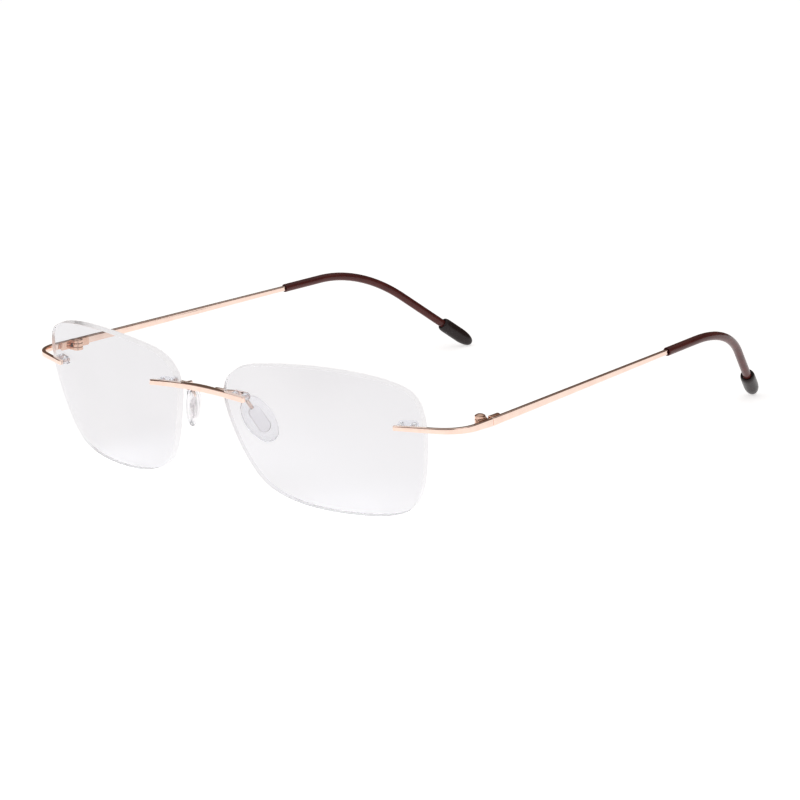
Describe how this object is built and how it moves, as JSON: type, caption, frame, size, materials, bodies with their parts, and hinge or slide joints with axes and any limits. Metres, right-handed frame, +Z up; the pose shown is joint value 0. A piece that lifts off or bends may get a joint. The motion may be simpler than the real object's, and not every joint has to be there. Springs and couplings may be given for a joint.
{
  "type": "rimless eyeglasses",
  "caption": "Rimless eyeglasses with drilled rectangular lenses, slim metal bridge and endpieces, clear nose pads and folding thin temples with sleeved tips.",
  "frame": {"origin": "middle of the bounding box in X and Y, on the surface that the glasses rest on (bottom of the lenses)", "axes": "+Z up as worn and as standing on a table, -Y towards what the wearer looks at, temples towards +Y, +X towards the wearer's left; X = 0 is the mirror plane"},
  "size_m": [0.1368, 0.1562, 0.0357],
  "materials": {
    "lens": "polished clear resin lens with anti-reflection coat",
    "gold_metal": "polished rose-gold plating on spring metal",
    "screw_metal": "polished rose-gold plated screw",
    "clear_plastic": "clear moulded nylon",
    "pad_silicone": "clear soft vinyl",
    "sleeve_plastic": "dark maroon, slightly translucent gloss tube",
    "cap_rubber": "near-black gloss rubber"
  },
  "bodies": {
    "front": {"lens_left": "lens", "lens_right": "lens", "bridge": "gold_metal", "bridge_bushing_left": "clear_plastic", "bridge_bushing_right": "clear_plastic", "endpiece_left": "gold_metal", "endpiece_right": "gold_metal", "endpiece_bushing_left": "clear_plastic", "endpiece_bushing_right": "clear_plastic", "pad_arm_left": "gold_metal", "pad_arm_right": "gold_metal", "nose_pad_left": "pad_silicone", "nose_pad_right": "pad_silicone", "front_hinge_left": "gold_metal", "front_hinge_right": "gold_metal", "hinge_screw_left": "screw_metal", "hinge_screw_right": "screw_metal"},
    "temple_left": {"temple_hinge_left": "gold_metal", "temple_arm_left": "gold_metal", "temple_sleeve_left": "sleeve_plastic", "end_cap_left": "cap_rubber"},
    "temple_right": {"temple_hinge_right": "gold_metal", "temple_arm_right": "gold_metal", "temple_sleeve_right": "sleeve_plastic", "end_cap_right": "cap_rubber"}
  },
  "joints": [
    {"name": "left_temple_hinge", "type": "hinge", "parent": "front", "child": "temple_left", "pos_m": [0.0649, -0.05315, 0.02315], "axis": [0, 0, 1], "range_deg": [0, 87]},
    {"name": "right_temple_hinge", "type": "hinge", "parent": "front", "child": "temple_right", "pos_m": [-0.0649, -0.05315, 0.02315], "axis": [0, 0, -1], "range_deg": [0, 82]}
  ]
}
